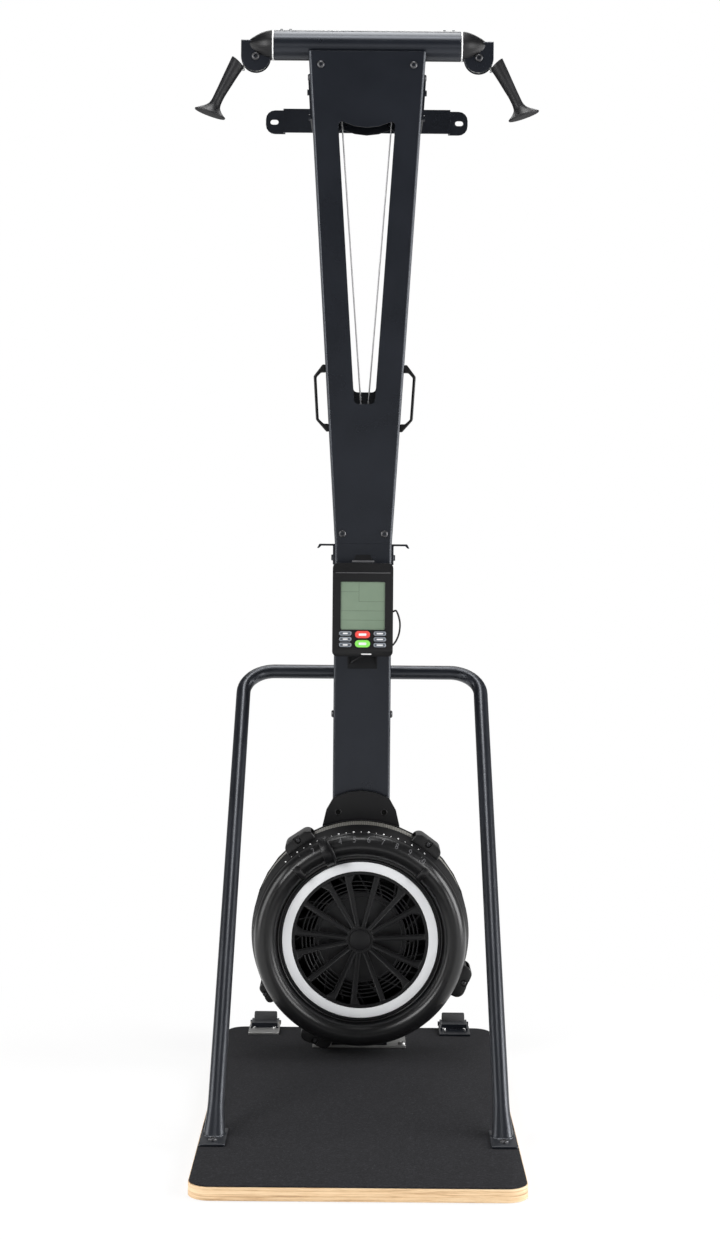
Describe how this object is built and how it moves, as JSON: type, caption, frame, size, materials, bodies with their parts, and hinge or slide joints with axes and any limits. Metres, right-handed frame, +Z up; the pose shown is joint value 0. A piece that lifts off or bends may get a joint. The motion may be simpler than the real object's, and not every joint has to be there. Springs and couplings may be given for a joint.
{
  "type": "ski trainer machine",
  "caption": "Upright ski trainer: plywood deck, steel column with a V cut-out, head tube with two pull handles, air fan, raked brace, tilting monitor and wall bracket.",
  "frame": {"origin": "on the floor, midway between the two sides and midway between the deck's front edge and the wall plane", "axes": "+Z up, +Y from the user towards the wall, +X to the user's right as they face the machine"},
  "size_m": [0.7306, 1.263, 2.1516],
  "materials": {
    "powder_coat": "satin black powder coat, slightly blue",
    "black_plastic": "fine-textured moulded black plastic",
    "black_rubber": "dull black rubber",
    "grip_mat": "charcoal fine-grain non-slip mat",
    "plywood": "clear-coated birch plywood with layered edges",
    "zinc": "zinc-plated steel",
    "steel": "bright turned steel",
    "silver": "light silver lacquer",
    "white_trim": "white plastic",
    "grey_mesh": "grey perforated sheet",
    "cord": "light grey braided cord",
    "nylon": "off-white nylon",
    "lens": "grey-green display window",
    "red_key": "coral red rubberised key",
    "green_key": "bright green rubberised key",
    "grey_key": "slate grey rubberised key"
  },
  "bodies": {
    "frame": {"deck_board": "plywood", "deck_grip_mat": "grip_mat", "foot_plate": "zinc", "fan_lower_bracket": "powder_coat", "lower_column": "powder_coat", "upper_channel": "powder_coat", "rear_plate": "powder_coat", "head_tube": "powder_coat", "turning_block": "zinc", "wall_bracket": "powder_coat", "monitor_bracket": "powder_coat", "fan_rear_housing": "black_plastic", "mesh_band": "grey_mesh", "front_shroud": "black_plastic", "silver_ring": "silver", "grille": "black_plastic", "brace": "powder_coat", "brace_saddle": "powder_coat", "monitor_lead": "black_rubber", "cord_guide": "nylon", "wheel_bracket_left": "zinc", "wheel_bracket_right": "powder_coat", "trim_ring_left": "white_trim", "head_cap_left": "black_plastic", "pulley_housing_left": "powder_coat", "carry_handle_left": "black_plastic", "handle_hook_left": "powder_coat", "drive_cord_left": "cord", "handle_cord_left": "cord", "trim_ring_right": "white_trim", "head_cap_right": "black_plastic", "pulley_housing_right": "powder_coat", "carry_handle_right": "black_plastic", "handle_hook_right": "powder_coat", "drive_cord_right": "cord", "handle_cord_right": "cord"},
    "flywheel": {"flywheel": "zinc", "fan_axle": "steel"},
    "damper": {"damper_lever": "black_plastic"},
    "monitor": {"monitor_front": "black_plastic", "monitor_back": "black_plastic", "monitor_lens": "lens"},
    "key_stop": {"key_stop": "red_key"},
    "key_start": {"key_start": "green_key"},
    "key_left_top": {"key_left_top": "grey_key"},
    "key_left_middle": {"key_left_middle": "grey_key"},
    "key_left_bottom": {"key_left_bottom": "grey_key"},
    "key_right_top": {"key_right_top": "grey_key"},
    "key_right_middle": {"key_right_middle": "grey_key"},
    "key_right_bottom": {"key_right_bottom": "grey_key"},
    "handle_left": {"handle_left": "black_rubber"},
    "outer_pulley_left": {"outer_pulley_left": "nylon"},
    "inner_pulley_left": {"inner_pulley_left": "nylon"},
    "cord_drum_left": {"cord_drum_left": "nylon"},
    "wheel_left": {"wheel_left": "black_rubber"},
    "handle_right": {"handle_right": "black_rubber"},
    "outer_pulley_right": {"outer_pulley_right": "nylon"},
    "inner_pulley_right": {"inner_pulley_right": "nylon"},
    "cord_drum_right": {"cord_drum_right": "nylon"},
    "wheel_right": {"wheel_right": "black_rubber"}
  },
  "joints": [
    {"name": "flywheel_spin", "type": "hinge", "parent": "frame", "child": "flywheel", "pos_m": [0, 0.35, 0.2643], "axis": [0, 1, 0], "continuous": true},
    {"name": "damper_turn", "type": "hinge", "parent": "frame", "child": "damper", "pos_m": [0, 0.235, 0.2643], "axis": [0, -1, 0], "range_deg": [-56.5, 14.6]},
    {"name": "monitor_tilt", "type": "hinge", "parent": "frame", "child": "monitor", "pos_m": [0, 0.352, 0.928], "axis": [1, 0, 0], "range_deg": [-15, 15]},
    {"name": "handle_left_pull", "type": "slide", "parent": "frame", "child": "handle_left", "axis": [0, 0, -1], "range_m": [0, 1.1], "stiffness_N_per_m": 6, "springref_m": -2, "deforming": ["handle_cord_left"]},
    {"name": "outer_pulley_left_turn", "type": "hinge", "parent": "frame", "child": "outer_pulley_left", "pos_m": [-0.236, 0.4455, 2.0912], "axis": [0, -1, 0], "range_deg": [0, 2430]},
    {"name": "inner_pulley_left_turn", "type": "hinge", "parent": "frame", "child": "inner_pulley_left", "pos_m": [-0.0792, 0.4455, 2.0686], "axis": [0, -1, 0], "range_deg": [0, 3510]},
    {"name": "cord_drum_left_turn", "type": "hinge", "parent": "frame", "child": "cord_drum_left", "pos_m": [0, 0.4375, 0.2643], "axis": [0, -1, 0], "range_deg": [0, 3160]},
    {"name": "wheel_left_roll", "type": "hinge", "parent": "frame", "child": "wheel_left", "pos_m": [-0.202, 0.537, 0.027], "axis": [1, 0, 0], "continuous": true},
    {"name": "handle_right_pull", "type": "slide", "parent": "frame", "child": "handle_right", "axis": [0, 0, -1], "range_m": [0, 1.1], "stiffness_N_per_m": 6, "springref_m": -2, "deforming": ["handle_cord_right"]},
    {"name": "outer_pulley_right_turn", "type": "hinge", "parent": "frame", "child": "outer_pulley_right", "pos_m": [0.236, 0.4455, 2.0912], "axis": [0, 1, 0], "range_deg": [0, 2430]},
    {"name": "inner_pulley_right_turn", "type": "hinge", "parent": "frame", "child": "inner_pulley_right", "pos_m": [0.0792, 0.4455, 2.0686], "axis": [0, 1, 0], "range_deg": [0, 3510]},
    {"name": "cord_drum_right_turn", "type": "hinge", "parent": "frame", "child": "cord_drum_right", "pos_m": [0, 0.4535, 0.2643], "axis": [0, -1, 0], "range_deg": [0, 3160]},
    {"name": "wheel_right_roll", "type": "hinge", "parent": "frame", "child": "wheel_right", "pos_m": [0.202, 0.537, 0.027], "axis": [1, 0, 0], "continuous": true},
    {"name": "key_stop_press", "type": "slide", "parent": "monitor", "child": "key_stop", "axis": [0, 1, 0], "range_m": [0, 0.0012], "stiffness_N_per_m": 800},
    {"name": "key_start_press", "type": "slide", "parent": "monitor", "child": "key_start", "axis": [0, 1, 0], "range_m": [0, 0.0012], "stiffness_N_per_m": 800},
    {"name": "key_left_top_press", "type": "slide", "parent": "monitor", "child": "key_left_top", "axis": [0, 1, 0], "range_m": [0, 0.0012], "stiffness_N_per_m": 800},
    {"name": "key_left_middle_press", "type": "slide", "parent": "monitor", "child": "key_left_middle", "axis": [0, 1, 0], "range_m": [0, 0.0012], "stiffness_N_per_m": 800},
    {"name": "key_left_bottom_press", "type": "slide", "parent": "monitor", "child": "key_left_bottom", "axis": [0, 1, 0], "range_m": [0, 0.0012], "stiffness_N_per_m": 800},
    {"name": "key_right_top_press", "type": "slide", "parent": "monitor", "child": "key_right_top", "axis": [0, 1, 0], "range_m": [0, 0.0012], "stiffness_N_per_m": 800},
    {"name": "key_right_middle_press", "type": "slide", "parent": "monitor", "child": "key_right_middle", "axis": [0, 1, 0], "range_m": [0, 0.0012], "stiffness_N_per_m": 800},
    {"name": "key_right_bottom_press", "type": "slide", "parent": "monitor", "child": "key_right_bottom", "axis": [0, 1, 0], "range_m": [0, 0.0012], "stiffness_N_per_m": 800}
  ],
  "couplings": [
    {"joint": "outer_pulley_left_turn", "follows": "handle_left_pull", "rad_per_m": 38.462},
    {"joint": "inner_pulley_left_turn", "follows": "handle_left_pull", "rad_per_m": 55.556},
    {"joint": "cord_drum_left_turn", "follows": "handle_left_pull", "rad_per_m": 50},
    {"joint": "outer_pulley_right_turn", "follows": "handle_right_pull", "rad_per_m": 38.462},
    {"joint": "inner_pulley_right_turn", "follows": "handle_right_pull", "rad_per_m": 55.556},
    {"joint": "cord_drum_right_turn", "follows": "handle_right_pull", "rad_per_m": 50}
  ]
}
